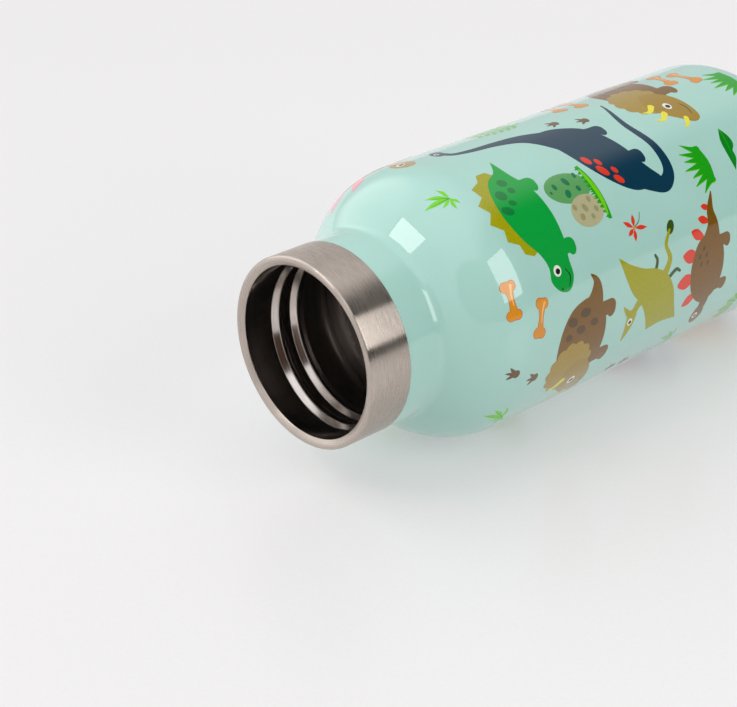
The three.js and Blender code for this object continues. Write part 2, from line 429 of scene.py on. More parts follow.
def fringe(points, count, reach, depth=1.2, valley=0.0):
    """Pointed teeth on the left of a path, cut down to the valley, with a strip behind it."""
    line = open_curve(points)
    gone = np.concatenate([[0], np.cumsum(np.linalg.norm(np.diff(line, axis=0), axis=1))])
    stops = np.linspace(0, gone[-1], 2 * count + 1)
    row = np.stack([np.interp(stops, gone, line[:, k]) for k in (0, 1)], axis=1)
    along = np.gradient(row, axis=0)
    along /= np.linalg.norm(along, axis=1)[:, None]
    side = np.stack([-along[:, 1], along[:, 0]], axis=1)
    swell = np.sin(np.linspace(0.12, 0.88, len(row)) * math.pi)[:, None]
    height = np.where(np.arange(len(row)) % 2, 1.0, valley)[:, None]
    teeth = row + side * reach * swell * height
    return np.vstack([teeth, (row - side * depth)[::-1]])


def scalloped(x, y, rx, ry, lobes, turn=0.0):
    """An ellipse with a scalloped edge."""
    t = np.linspace(0, 2 * math.pi, lobes * 10, endpoint=False)
    swell = 0.92 + 0.1 * np.abs(np.sin(t * lobes / 2))
    flat = np.stack([rx * swell * np.cos(t), ry * swell * np.sin(t)], axis=1)
    return flat @ rotation(turn) + (x, y)


def moved(layers, x=0.0, y=0.0, turn=0.0, size=1.0, flip=False, inks=None):
    """A drawing moved into place, and with some of its inks changed."""
    mirror = np.array([-1.0 if flip else 1.0, 1.0])
    swap = inks or {}
    return [
        (swap.get(ink, ink), shape * mirror * size @ rotation(turn) + (x, y))
        for ink, shape in layers
    ]


def eye(x, y, size=1.0):
    """A white eye with a dark pupil."""
    return [
        ("white", ellipse(x, y, 1.45 * size, 1.3 * size)),
        ("black", ellipse(x + 0.15 * size, y - 0.1 * size, 0.75 * size, 0.78 * size)),
    ]


def leg(ink, x, y, length, width):
    """A short leg with a rounded foot that points to the right."""
    foot = y - length
    shin = [(x, y, width), (x + 0.1, y - length / 2, width * 0.9), (x, foot, width * 0.85)]
    return [
        (ink, stroke(shin)),
        (ink, ellipse(x + width * 0.12, foot - width * 0.05, width * 0.52, width * 0.36)),
    ]


def spots(ink, places):
    """Ellipses of one ink, at (x, y, rx, ry, turn) places."""
    return [(ink, ellipse(x, y, rx, ry, turn)) for x, y, rx, ry, turn in places]


def crested_walker():
    """A plump green animal with a toothed crest along its back."""
    back = [(-15.6, -0.2), (-12.6, 3.8), (-8.0, 5.8), (-1.5, 6.8), (4.5, 5.4), (9.4, 3.0)]
    body = outline([
        (-19.4, -4.6), (-15.4, -1.8), (-13.0, 2.4), (-8.6, 5.4), (-2.0, 6.8), (5.0, 5.2),
        (10.2, 2.0), (14.0, 0.8), (17.6, 1.2), (20.6, -1.2), (21.2, -4.4), (18.2, -6.6),
        (13.6, -6.6), (8.0, -7.6), (0.0, -8.0), (-7.5, -7.2), (-12.0, -5.4), (-15.4, -4.8),
    ], corners=(0,))
    marks = [
        (-11.2, -0.8, 1.3, 1.5, 15), (-8.2, -1.4, 1.0, 1.1, 10), (-7.8, 2.6, 1.6, 1.7, 20),
        (-4.8, 1.2, 0.9, 1.2, 20), (-3.2, 4.2, 1.3, 1.9, 30),
    ]
    layers = [("olive", fringe(back, 6, 5.0, valley=0.55))]
    layers += leg("green", -8.4, -4.8, 3.4, 4.4) + leg("green", 10.4, -4.6, 4.0, 4.4)
    layers += [("green", body)] + spots("deep_green", marks) + eye(15.4, -1.6)
    smile = stroke([(15.6, -4.4, 0.25), (17.8, -5.4, 0.34), (20.0, -4.5, 0.25)])
    return layers + [("black", smile), ("black", ellipse(20.2, -1.9, 0.3, 0.24))]


def long_neck():
    """A navy animal with a long raised neck and a tail that sweeps under its feet."""
    neck = [
        (-22.6, 34.2, 2.0), (-19.6, 32.8, 1.7), (-18.0, 28.0, 2.0), (-16.8, 20.0, 2.8),
        (-14.4, 12.0, 5.0), (-8.0, 3.5, 11.0),
    ]
    tail = [
        (7.0, -6.0, 11.0), (12.4, -11.0, 7.0), (14.8, -15.2, 4.6), (11.6, -19.0, 3.4),
        (4.0, -20.0, 2.6), (-6.0, -18.2, 1.9), (-17.0, -21.4, 0.5),
    ]
    body = outline([
        (-13.4, 9.0), (-6.4, 8.4), (2.4, 5.8), (9.4, 1.2), (13.8, -4.8), (13.2, -10.6),
        (6.0, -11.4), (-2.0, -9.4), (-9.0, -6.2), (-12.8, -1.4), (-14.6, 4.0),
    ])
    marks = [
        (1.0, 4.2, 1.7, 1.0, -30), (2.6, 1.2, 1.3, 0.8, -25), (5.4, 1.9, 2.1, 1.15, -32),
        (6.4, -1.8, 1.2, 0.8, -25), (9.2, -1.2, 1.7, 1.05, -38),
    ]
    layers = [("navy", stroke(neck)), ("navy", stroke(tail)), ("navy", body)]
    layers += leg("navy", -7.4, -5.0, 4.2, 4.4) + leg("navy", 4.6, -8.0, 4.6, 4.4)
    layers += [("navy", ellipse(-23.6, 34.6, 2.7, 1.7, 12))] + spots("red", marks)
    return layers + eye(-23.4, 35.0, 0.55)


def horned(crown=2):
    """A brown animal with a scalloped neck frill and small yellow horns."""
    tail = [(-8.0, -2.0, 9.0), (-13.0, -4.6, 5.0), (-16.6, -5.2, 2.4), (-18.8, -3.8, 0.5)]
    body = outline([
        (-13.4, -1.0), (-11.4, 5.0), (-6.0, 8.8), (1.0, 9.4), (7.0, 6.4), (10.0, 0.0),
        (8.0, -6.2), (1.0, -8.2), (-7.0, -8.0), (-12.4, -5.6),
    ])
    head = outline([
        (4.6, 1.6), (9.4, 4.6), (14.0, 3.4), (17.6, -0.2), (20.6, -4.4), (19.2, -7.6),
        (13.4, -7.8), (8.0, -6.0), (4.8, -2.4),
    ])
    marks = [
        (-8.6, 4.6, 1.3, 1.9, 25), (-9.8, -0.2, 1.3, 2.0, 10), (-5.6, 1.4, 1.2, 1.8, 20),
        (-6.2, -3.6, 1.1, 1.5, 15), (-4.6, 5.8, 1.0, 1.3, 30),
    ]
    layers = [("brown", stroke(tail)), ("brown", body)]
    layers += leg("brown", -8.6, -5.0, 4.8, 4.8) + leg("brown", 5.4, -5.0, 5.0, 4.8)
    layers += spots("deep_brown", marks) + [("tan", scalloped(5.6, 3.4, 8.0, 8.2, 13, 20))]
    layers += [("ochre", head)]
    for k in range(crown):
        x, y = 10.4 + 4.2 * k, 3.2 - 0.9 * k
        horn = [(x, y, 1.9), (x + 1.8, y + 2.4, 1.3), (x + 1.4, y + 5.0, 0.2)]
        layers.append(("yellow", stroke(horn)))
    nose = stroke([(18.6, -2.6, 1.6), (20.6, -1.2, 1.1), (21.2, 0.8, 0.2)])
    smile = stroke([(13.0, -5.6, 0.25), (15.4, -6.4, 0.32), (17.8, -5.8, 0.25)])
    return layers + [("yellow", nose), ("black", smile)] + eye(12.4, -1.4)


def glider():
    """An olive flying reptile with spread wings, a crest and a leaf-shaped tail tip."""
    wings = outline([
        (-12.8, 10.4), (-7.0, 8.8), (-1.8, 6.4), (1.6, 3.2), (6.0, 0.6), (12.0, -2.0),
        (11.4, -7.6), (12.4, -14.2), (7.0, -11.8), (1.4, -10.2), (-3.4, -7.4), (-6.0, -3.2),
        (-7.4, 1.4), (-9.8, 6.2),
    ], corners=(0, 5, 7))
    tail = [(-2.6, -5.6, 2.6), (-7.0, -8.8, 1.7), (-11.0, -8.0, 1.2), (-14.4, -10.4, 0.8)]
    layers = [
        ("olive_dark", ellipse(-15.0, -11.0, 2.0, 1.3, 35)),
        ("olive_dark", stroke([(-5.0, -2.6, 1.2), (-8.0, -3.8, 1.0), (-9.6, -3.2, 0.8)])),
        ("olive_dark", stroke([(-2.0, -8.0, 1.2), (-3.4, -11.0, 1.0), (-2.6, -12.6, 0.8)])),
        ("olive", stroke(tail)),
        ("olive", wings),
        ("olive", stroke([(0.8, 3.0, 3.0), (2.6, 4.8, 2.2), (4.6, 6.0, 2.6)])),
        ("olive", stroke([(4.4, 6.4, 2.4), (2.6, 8.4, 1.5), (0.8, 9.8, 0.3)])),
        ("olive", stroke([(4.4, 6.2, 3.8), (7.6, 6.8, 2.9), (11.6, 8.0, 0.7)])),
    ]
    return layers + eye(6.2, 6.6, 0.75)


def plated():
    """A brown animal with upright plates along its back."""
    tail = [(-5.0, -1.0, 9.0), (-10.6, -3.0, 4.6), (-15.0, -3.2, 2.6), (-19.4, -5.4, 0.5)]
    body = outline([
        (-9.6, -1.4), (-7.4, 4.0), (-1.6, 7.0), (4.8, 6.4), (9.6, 2.8), (11.4, -1.2),
        (9.0, -5.2), (3.0, -6.8), (-4.0, -6.6), (-8.6, -4.6),
    ])
    plates = [
        (-15.8, -2.6, 2.8, 1.7, 112), (-12.6, -1.0, 3.6, 2.2, 114), (-9.0, 2.0, 4.6, 3.0, 122),
        (-4.4, 5.0, 5.6, 3.9, 106), (1.6, 6.2, 6.4, 4.4, 88), (7.2, 4.2, 5.0, 3.4, 62),
    ]
    layers = []
    for x, y, length, width, turn in plates:
        wide = length * 0.45
        kite = outline([(-1.0, 0), (wide, width / 2), (length, 0), (wide, -width / 2)])
        layers.append(("red", kite @ rotation(turn) + (x, y)))
    layers += leg("brown", -6.0, -3.4, 4.6, 3.8) + leg("brown", 7.2, -3.2, 4.8, 3.8)
    layers += [("brown", stroke(tail)), ("brown", body)]
    layers += [("brown", stroke([(7.0, -0.4, 6.0), (11.6, -1.8, 3.4), (14.6, -1.4, 3.4)]))]
    layers += [("brown", ellipse(16.4, -1.4, 3.6, 2.4, -8))]
    marks = [
        (-5.6, 1.6, 0.8, 0.5, 40), (-3.8, 3.4, 0.8, 0.5, 30), (-3.6, 0.6, 0.8, 0.5, 40),
        (-1.6, 2.8, 0.8, 0.5, 30), (-1.2, 0.2, 0.8, 0.5, 40),
    ]
    return layers + spots("deep_brown", marks) + eye(16.6, -0.8, 0.75)


def nest():
    """Two speckled eggs in a strip of grass."""
    green = [
        (-4.6, 7.0, 1.0, 0.7, 0), (-1.6, 4.4, 1.3, 0.9, 30), (-5.0, 2.6, 1.4, 0.9, -20),
        (-2.0, 0.2, 0.9, 0.7, 0), (-5.8, -1.4, 0.9, 0.6, 10), (-3.4, 9.2, 0.5, 0.4, 0),
    ]
    beige = [
        (2.4, 5.2, 0.9, 0.7, 0), (5.4, 4.2, 1.0, 0.8, 20), (3.4, 2.0, 1.2, 0.8, -15),
        (6.2, 0.8, 0.8, 0.6, 0), (1.6, -0.6, 0.9, 0.6, 10), (4.6, -1.4, 0.9, 0.7, 0),
    ]
    ground = [(8.4, -4.4), (3.0, -5.0), (-3.0, -5.0), (-8.0, -4.2)]
    lit = [(-6.6, -4.3, 0.6), (-2.0, -4.7, 1.3), (3.0, -4.7, 1.2), (7.0, -4.2, 0.5)]
    return [
        ("egg_green", ellipse(-3.2, 3.4, 4.6, 7.4, 6)),
        *spots("egg_mark", green),
        ("egg_beige", ellipse(4.2, 1.6, 4.4, 5.6, -8)),
        *spots("egg_shade", beige),
        ("grass", fringe(ground, 11, -2.6, 0.6)),
        ("grass", fringe(ground[::-1], 12, 3.0, 0.6)),
        ("lime", stroke(lit)),
    ]


def bone():
    """A little bone, upright."""
    end = 3.75  # of the shaft, from the middle
    knobs = [(side, tip * end) for tip in (1, -1) for side in (-0.95, 0.95)]
    layers = [("rust", ellipse(x, y, 1.26, 1.4)) for x, y in knobs]
    layers.append(("rust", stroke([(0, -end, 2.7), (0, 0, 1.6), (0, end, 2.7)])))
    layers += [("orange", ellipse(x, y, 1.12, 1.26)) for x, y in knobs]
    layers.append(("orange", stroke([(0, -end, 2.4), (0, 0, 1.32), (0, end, 2.4)])))
    shine = [(-0.3, -end * 0.3, 0.25), (-0.25, end * 0.4, 0.4), (-0.8, end + 0.2, 0.6)]
    return layers + [("peach", stroke(shine))]


def track():
    """A three-toed footprint."""
    layers = [("umber", ellipse(0, -0.9, 1.2, 1.0))]
    for x, y in ((-1.7, 1.3), (0.0, 2.1), (1.7, 1.3)):
        layers.append(("umber", stroke([(0, -0.8, 1.1), (x * 0.6, y * 0.4, 0.9), (x, y, 0.25)])))
    return layers


def flower():
    """A red blossom with narrow petals and a thin stem."""
    layers = [("stem", stroke([(0, 0, 0.35), (-1.2, -2.4, 0.3), (-3.2, -3.8, 0.2)]))]
    for turn, length in ((12, 3.6), (62, 3.2), (128, 4.0), (196, 3.6), (282, 4.8)):
        layers += moved([("red", leaf(0.3, 0, length, 0, 1.15))], turn=turn)
    return layers + [("orange", ellipse(0, 0, 0.4))]


def tuft(blades=7, width=13.0, height=8.0):
    """A tuft of grass whose blades fan out and have a lit edge."""
    layers = []
    for k in range(blades):
        lean = 2 * k / (blades - 1) - 1
        x, rise = lean * width * 0.36, height * (1 - 0.34 * lean * lean) * (0.86 + 0.14 * (k % 2))
        tip = (lean * width * 0.56, rise - 3)
        blade = [(x, -3.6, 1.6), (x * 1.04, rise * 0.3 - 3, 1.7), (*tip, 0.1)]
        layers.append(("lime", stroke([(px + 0.22, py, w) for px, py, w in blade])))
        layers.append(("grass", stroke(blade)))
    edge = width * 0.36
    foot = stroke([(-edge, -3.6, 1.2), (0, -3.9, 2.0), (edge, -3.6, 1.2)])
    return layers + [("grass", foot)]


def sprig():
    """A sprig of narrow leaves that spread from one foot."""
    blades = [
        (-1.4, 6.4, 1.5, 0.5), (-4.0, 4.4, 1.2, 0.5), (-4.4, 1.0, 0.9, 0.9),
        (2.8, -1.0, 0.8, -0.4), (3.8, 0.4, 0.8, 0.5), (1.2, 3.2, 0.8, -0.4),
    ]
    layers = [("lime", leaf(0, 0, x, y, width, bend)) for x, y, width, bend in blades]
    veins = [(x * 0.75, y * 0.75) for x, y, *_ in blades[:2]]
    return layers + [("grass", stroke([(0, 0, 0.3), (x, y, 0.12)])) for x, y in veins]


def fern():
    """An upright frond."""
    length, pairs = 17.0, 6
    layers = [("fern", stroke([(0, -length / 2, 0.8), (0.5, 0, 0.6), (0.2, length / 2, 0.2)]))]
    for k in range(pairs):
        y = -length / 2 + 2 + k * (length - 3) / pairs
        reach = 4.6 * (1 - 0.6 * abs(k / pairs - 0.25))
        for side in (-1, 1):
            layers.append(("fern", leaf(0.2, y, side * reach, y + 2.6, 1.5, bend=-0.4 * side)))
    return layers


def broad_leaf():
    """One dark notched leaf that curves to a point."""
    blade = outline([
        (-5.6, -1.6), (-2.6, 1.2), (1.2, 2.4), (6.4, 3.0),
        (3.8, 0.4), (1.6, -0.2), (0.0, -2.2), (-2.6, -2.4),
    ], corners=(0, 3, 5))
    rib = stroke([(-5.0, -1.4, 0.5), (-1.0, -0.2, 0.4), (4.4, 1.8, 0.15)])
    return [("leaf_dark", blade), ("grass", rib)]


def bush():
    """A low bush of overlapping leaves."""
    layers = []
    leaves = ((-3.4, 140, 4.6), (3.4, 40, 4.6), (-2.0, 115, 5.8), (2.0, 65, 5.8), (0, 90, 6.6))
    for x, turn, length in leaves:
        rib = stroke([(0.4, 0, 0.4), (length * 0.8, 0, 0.1)])
        blade = [("fern", leaf(0, 0, length, 0, 2.8)), ("grass", rib)]
        layers += moved(blade, x=x * 0.6, y=-3.0, turn=turn)
    return layers


# ---------------------------------------------------------------- prints on the shell


def on_shell(s, v, lift):
    """Row-frame points and normals at places on the outer wall, raised by lift."""
    shoulder = s < SHOULDER_END
    bend = np.where(shoulder, s - SHOULDER_END, np.maximum(s - CORNER_START, 0))
    size = np.where(shoulder, SHOULDER_RADIUS, CORNER_RADIUS)
    rise = np.sqrt(size**2 - bend**2)
    lean_s, lean_r = bend / size, rise / size
    angle = v / BODY_RADIUS
    points = at(s + lift * lean_s, BODY_RADIUS - size + rise + lift * lean_r, angle)
    normals = np.stack([lean_s, -lean_r * np.sin(angle), lean_r * np.cos(angle)], axis=1)
    return points, normals


def dense(shape):
    """The outline with its long edges divided and its repeated points left out."""
    points = []
    for here, there in zip(shape, np.roll(shape, -1, axis=0)):
        length = np.linalg.norm(there - here)
        if length < 0.02:
            continue
        for part in np.arange(0, 1 - 1e-6, 1 / math.ceil(length / PRINT_EDGE)):
            points.append(here + (there - here) * part)
    return np.array(points)


def winding(points, shape):
    """How many times the outline goes round each point."""
    total = np.zeros(len(points))
    for (x0, y0), (x1, y1) in zip(shape, np.roll(shape, -1, axis=0)):
        side = (x1 - x0) * (points[:, 1] - y0) - (points[:, 0] - x0) * (y1 - y0)
        total += (y0 <= points[:, 1]) & (y1 > points[:, 1]) & (side > 0)
        total -= (y0 > points[:, 1]) & (y1 <= points[:, 1]) & (side < 0)
    return total


def top_layer(points, shapes):
    """Which layer each point shows, or -1 outside them all."""
    top = np.full(len(points), -1)
    for k, shape in enumerate(shapes):
        low, high = shape.min(0), shape.max(0)
        near = np.flatnonzero(((points >= low) & (points <= high)).all(1))
        if len(near):
            inside = near[winding(points[near], shape) != 0]
            top[inside] = k
    return top


def print_piece(name, layers, inks):
    """A thin film of ink on the shell. Its layers are merged, so that each spot holds one ink."""
    shapes = [dense(shape) for _, shape in layers]
    corners, edges = [], []
    for shape in shapes:
        first = len(corners)
        corners.extend(shape.tolist())
        edges.extend((first + k, first + (k + 1) % len(shape)) for k in range(len(shape)))
    rim = np.array(corners)
    low, high = rim.min(0), rim.max(0)
    grid = np.stack(np.meshgrid(*[np.arange(a, b, PRINT_GRID) for a, b in zip(low, high)]), -1)
    grid = grid.reshape(-1, 2)
    grid = grid[top_layer(grid, shapes) >= 0]
    clear = np.array([np.min(((rim - g) ** 2).sum(1)) > (PRINT_GRID * 0.45) ** 2 for g in grid])
    if len(grid):
        corners.extend(grid[clear].tolist())
    flat, _, triangles, *_ = delaunay_2d_cdt([Vector(c) for c in corners], edges, [], 0, 1e-4)
    flat = np.array([tuple(p) for p in flat])
    triangles = np.array(triangles)
    shown = top_layer(flat[triangles].mean(1), shapes)
    kept = shown >= 0
    triangles, shown = triangles[kept], shown[kept]
    a, b, c = (flat[triangles[:, k]] for k in range(3))
    turning = np.cross(b - a, c - a)
    triangles[turning > 0] = triangles[turning > 0][:, ::-1]  # x and y are mirrored on the shell
    used, packed = np.unique(triangles, return_inverse=True)
    triangles = packed.reshape(-1, 3)
    flat = flat[used]

    names = sorted({layers[k][0] for k in shown})
    ink_of = [names.index(layers[k][0]) for k in shown]
    sides = {}
    for face, ink in zip(triangles.tolist(), ink_of):
        for k in range(3):
            sides[(face[k], face[(k + 1) % 3])] = ink
    borders = [(edge, ink) for edge, ink in sides.items() if edge[::-1] not in sides]

    s, v = -flat[:, 1], flat[:, 0]
    above, lean = on_shell(s, v, PRINT_LIFT)
    below, _ = on_shell(s, v, PRINT_ROOT)
    count = len(flat)
    faces = triangles.tolist()
    faces += [[c + count for c in face[::-1]] for face in triangles.tolist()]
    faces += [[b, a, a + count, b + count] for (a, b), _ in borders]
    mesh = bpy.data.meshes.new(name)
    mesh.from_pydata(np.vstack([above, below]).tolist(), [], faces)
    for ink in names:
        mesh.materials.append(inks[ink])
    slots = ink_of + ink_of + [ink for _, ink in borders]
    mesh.polygons.foreach_set("material_index", slots)
    mesh.shade_smooth()
    tops = len(triangles)
    loop_normals = np.zeros((len(mesh.loops), 3))
    for polygon in mesh.polygons:
        for loop in polygon.loop_indices:
            corner = mesh.loops[loop].vertex_index
            loop_normals[loop] = lean[corner] if polygon.index < tops else polygon.normal
    mesh.normals_split_custom_set(loop_normals.tolist())
    return mesh


def placed(layers, s, v, **change):
    """A drawing placed on the shell."""
    return moved(layers, x=v, y=-s, **change)


def scattered(drawing, places):
    """Copies of a drawing on the shell, at (s, v, turn) places."""
    return [layer for s, v, turn in places for layer in placed(drawing, s, v, turn=turn)]


PINK = {"red": "pink", "brown": "sand", "deep_brown": "tan"}
PALE = {"lime": "fern"}


def front_prints():
    """The prints on the side that faces the camera, by the name of their piece."""
    bones = [
        (39, 43.5, 90), (47, 50.5, 105), (138.5, -3.5, 100),
        (144.5, -0.5, 78), (101.5, -11, 110), (107, -9, 100),
    ]
    tracks = [
        (38.5, 63.5, 12), (45.5, 67, 2), (97.5, 3, 10),
        (89.5, -0.5, 0), (84, 82, 8), (89.5, 82, 4),
    ]
    return {
        "print_crested_walker": placed(crested_walker(), 54, 25.5),
        "print_long_neck": placed(long_neck(), 88, 16),
        "print_horned_low": placed(horned(1), 63, 64),
        "print_horned_high": placed(horned(2), 123.6, -3),
        "print_glider": placed(glider(), 88, 57),
        "print_plated": placed(plated(), 112.5, 57),
        "print_plated_pink": placed(plated(), 44.5, -29, turn=8, size=1.15, inks=PINK),
        "print_nest": placed(nest(), 75, 25.5),
        "print_bones": scattered(bone(), bones),
        "print_tracks": scattered(track(), tracks),
        "print_flower": placed(flower(), 86, 38.5),
        "print_tufts": placed(tuft(), 117.4, 30) + placed(tuft(6, 11, 8), 151, 8),
        "print_broad_leaf": placed(broad_leaf(), 132.5, 28, turn=-10),
        "print_ferns": placed(fern(), 77.5, -10.5, turn=8, size=0.95)
        + placed(bush(), 131, 78.5, size=1.1),
        "print_sprigs": placed(sprig(), 38.7, 12.2)
        + placed(sprig(), 41.5, 80.5)
        + placed(sprig(), 108, 80, inks=PALE, size=0.9),
    }


def back_prints():
    """The same drawings spread over the side that faces away."""
    bones = [(40, 141, 80), (36.5, 133, 100), (88, 128, 60), (94, 126, 100), (152, 128, 95)]
    tracks = [
        (78, 170, 20), (84, 171, 10), (124, 131, 0),
        (130, 129, 10), (36, 156, 5), (42, 158, 0),
    ]
    return {
        "print_back_walkers": placed(crested_walker(), 57, 114, flip=True)
        + placed(crested_walker(), 109, 189),
        "print_back_long_neck": placed(long_neck(), 106, 108, flip=True),
        "print_back_horned": placed(horned(1), 60, 155) + placed(horned(2), 143, 107, flip=True),
        "print_back_gliders": placed(glider(), 88, 151, flip=True) + placed(glider(), 139, 190),
        "print_back_plated": placed(plated(), 115, 152)
        + placed(plated(), 141, 150, flip=True, inks=PINK),
        "print_back_nest": placed(nest(), 84, 187),
        "print_back_bones": scattered(bone(), bones),
        "print_back_tracks": scattered(track(), tracks),
        "print_back_plants": placed(tuft(), 66, 196)
        + placed(sprig(), 36, 120)
        + placed(flower(), 131, 171)
        + placed(fern(), 96, 168, turn=-10)
        + placed(bush(), 70, 131),
    }


# ---------------------------------------------------------------- materials


def srgb(red, green, blue):
    """Linear colour of an 8-bit screen colour."""
    parts = (c / 255 for c in (red, green, blue))
    linear = (c / 12.92 if c < 0.04045 else ((c + 0.055) / 1.055) ** 2.4 for c in parts)
    return (*linear, 1.0)


def shader(name, settings):
    """A new material with those sockets set, its tree, and what plugs outputs into it."""
    made = bpy.data.materials.new(name)
    made.use_nodes = True
    principled = made.node_tree.nodes["Principled BSDF"]
    for socket, value in settings.items():
        principled.inputs[socket].default_value = value

    def plug(socket, output):
        """Links an output to a socket of the shader."""
        made.node_tree.links.new(output, principled.inputs[socket])

    return made, made.node_tree, plug


def node(tree, kind, inputs=(), **settings):
    """A new node, with values or other nodes' outputs on its inputs."""
    made = tree.nodes.new("ShaderNode" + kind)
    for name, value in settings.items():
        setattr(made, name, value)
    for socket, value in dict(inputs).items():
        if isinstance(value, bpy.types.NodeSocket):
            tree.links.new(value, made.inputs[socket])
        else:
            made.inputs[socket].default_value = value
    return made


def maths(tree, operation, a, b):
    """Output of a Math node."""
    return node(tree, "Math", {0: a, 1: b}, operation=operation).outputs[0]


def vector_maths(tree, operation, a, b=(0, 0, 0), output="Vector"):
    """Output of a Vector Math node."""
    return node(tree, "VectorMath", {0: a, 1: b}, operation=operation).outputs[output]


def noise(tree, scale, detail=2.0, roughness=0.5, vector=None):
    """Output of a noise texture, from 0 to 1, at that many features per metre."""
    inputs = {"Scale": scale, "Detail": detail, "Roughness": roughness}
    inputs["Vector"] = place_vector(tree) if vector is None else vector
    return node(tree, "TexNoise", inputs).outputs["Fac"]


def ramp(tree, factor, low, high, start=0.0, end=1.0):
    """Colour that goes from low to high as the factor goes from start to end."""
    made = node(tree, "ValToRGB", {"Fac": factor})
    for stop, place, colour in zip(made.color_ramp.elements, (start, end), (low, high)):
        stop.position = place
        stop.color = colour
    return made.outputs["Color"]


def between(tree, factor, low, high):
    """A value that goes from low to high as the factor goes over its usual range."""
    inputs = {"Value": factor, "From Min": 0.3, "From Max": 0.7, "To Min": low, "To Max": high}
    return node(tree, "MapRange", inputs).outputs["Result"]


def tint(colour, amount):
    """The colour made lighter or darker."""
    return tuple(min(1.0, c * amount) for c in colour[:3]) + (1.0,)


def place_vector(tree):
    """Coordinates on the piece, in metres."""
    return node(tree, "TexCoord").outputs["Object"]


def turned_vector(tree):
    """Coordinates that change along the axis and outwards, and only slowly round it."""
    centred = vector_maths(tree, "SUBTRACT", place_vector(tree), (0, 0, AXIS_Z))
    across = vector_maths(tree, "MULTIPLY", centred, (0, 1, 1))
    radius = vector_maths(tree, "LENGTH", across, output="Value")
    parts = node(tree, "SeparateXYZ", {0: centred}).outputs
    round_y = maths(tree, "MULTIPLY", parts["Y"], BRUSH_DRIFT)
    round_z = maths(tree, "MULTIPLY", parts["Z"], BRUSH_DRIFT)
    outwards = maths(tree, "ADD", radius, round_y)
    return node(tree, "CombineXYZ", {0: parts["X"], 1: outwards, 2: round_z}).outputs[0]


def average(tree, a, b):
    """The mean of two values."""
    return maths(tree, "MULTIPLY", maths(tree, "ADD", a, b), 0.5)


def bump(tree, height, strength, depth):
    """Normals of a relief that is that many millimetres deep."""
    inputs = {"Height": height, "Strength": strength, "Distance": depth * MM}
    return node(tree, "Bump", inputs).outputs["Normal"]


def gloss_normals(tree, plug):
    """The faint waviness of sprayed paint, in its clear coat and a little in the colour."""
    wave = noise(tree, 260, 1.0)
    grain = noise(tree, 1500, 2.0)
    plug("Coat Normal", bump(tree, wave, 0.1, 0.03))
    plug("Normal", bump(tree, grain, 0.12, 0.02))


BRUSH_DRIFT = 0.05  # how fast the brushed lines change on the way round the axis
DULLING = (22, 60)  # s where the steel inside starts to get duller, and where it stops
CLEAR_COAT = {
    "Specular IOR Level": 0.1,
    "Coat Weight": 1.0,
    "Coat Roughness": 0.03,
    "Coat IOR": 1.5,
}


def paint(name, colour):
    """Glossy powder paint under a clear coat, with faint clouding and grain."""
    settings = {"Roughness": 0.32, **CLEAR_COAT}
    made, tree, plug = shader(name, settings)
    cloud = noise(tree, 45, 3.0)
    fine = noise(tree, 5200, 2.0, 0.6)
    both = average(tree, cloud, fine)
    shade = ramp(tree, both, tint(colour, 0.96), tint(colour, 1.035), 0.35, 0.65)
    plug("Base Color", shade)
    plug("Roughness", between(tree, fine, 0.28, 0.36))
    gloss_normals(tree, plug)
    return made


def printed_ink(name, red, green, blue, grain):
    """Printed ink under the same clear coat, with a row of INKS for its look."""
    settings = {"Roughness": 0.35, **CLEAR_COAT}
    colour = srgb(red, green, blue)
    made, tree, plug = shader(name, settings)
    speckle = noise(tree, 2600, 3.0, 0.75)
    shade = ramp(tree, speckle, tint(colour, 1 - grain), tint(colour, 1 + grain), 0.36, 0.64)
    plug("Base Color", shade)
    plug("Roughness", between(tree, speckle, 0.3, 0.42))
    gloss_normals(tree, plug)
    return made


def steel(name, colour, rough, lines, depth, anisotropy=0.0, dull=0.0):
    """Steel with a turned or brushed finish round the axis, that gets duller deep inside."""
    settings = {"Metallic": 1.0, "Anisotropic": anisotropy, "Anisotropic Rotation": 0.25}
    made, tree, plug = shader(name, settings)
    streak = noise(tree, lines, 4.0, 0.65, turned_vector(tree))
    broad = noise(tree, 120, 3.0)
    shade = ramp(tree, streak, tint(colour, 0.86), tint(colour, 1.1), 0.3, 0.7)
    plug("Base Color", shade)
    finish = between(tree, average(tree, streak, broad), rough * 0.8, rough * 1.25)
    inside = node(tree, "SeparateXYZ", {0: place_vector(tree)}).outputs["X"]
    first, last = (RIM_X + s * MM for s in DULLING)
    inputs = {"Value": inside, "From Min": first, "From Max": last, "To Max": dull}
    deeper = node(tree, "MapRange", inputs).outputs["Result"]
    plug("Roughness", maths(tree, "ADD", finish, deeper))
    plug("Normal", bump(tree, streak, 0.35, depth))
    if anisotropy:
        tangent = node(tree, "Tangent", direction_type="RADIAL", axis="X")
        plug("Tangent", tangent.outputs[0])
    return made


def grainy(name, colour, rough, metallic, scale, depth):
    """A dull or crinkled surface, for the parts inside the wall."""
    made, tree, plug = shader(name, {"Metallic": metallic})
    grain = noise(tree, scale, 4.0, 0.7)
    shade = ramp(tree, grain, tint(colour, 0.7), tint(colour, 1.2), 0.3, 0.7)
    plug("Base Color", shade)
    plug("Roughness", between(tree, grain, rough * 0.8, rough * 1.2))
    plug("Normal", bump(tree, grain, 0.5, depth))
    return made


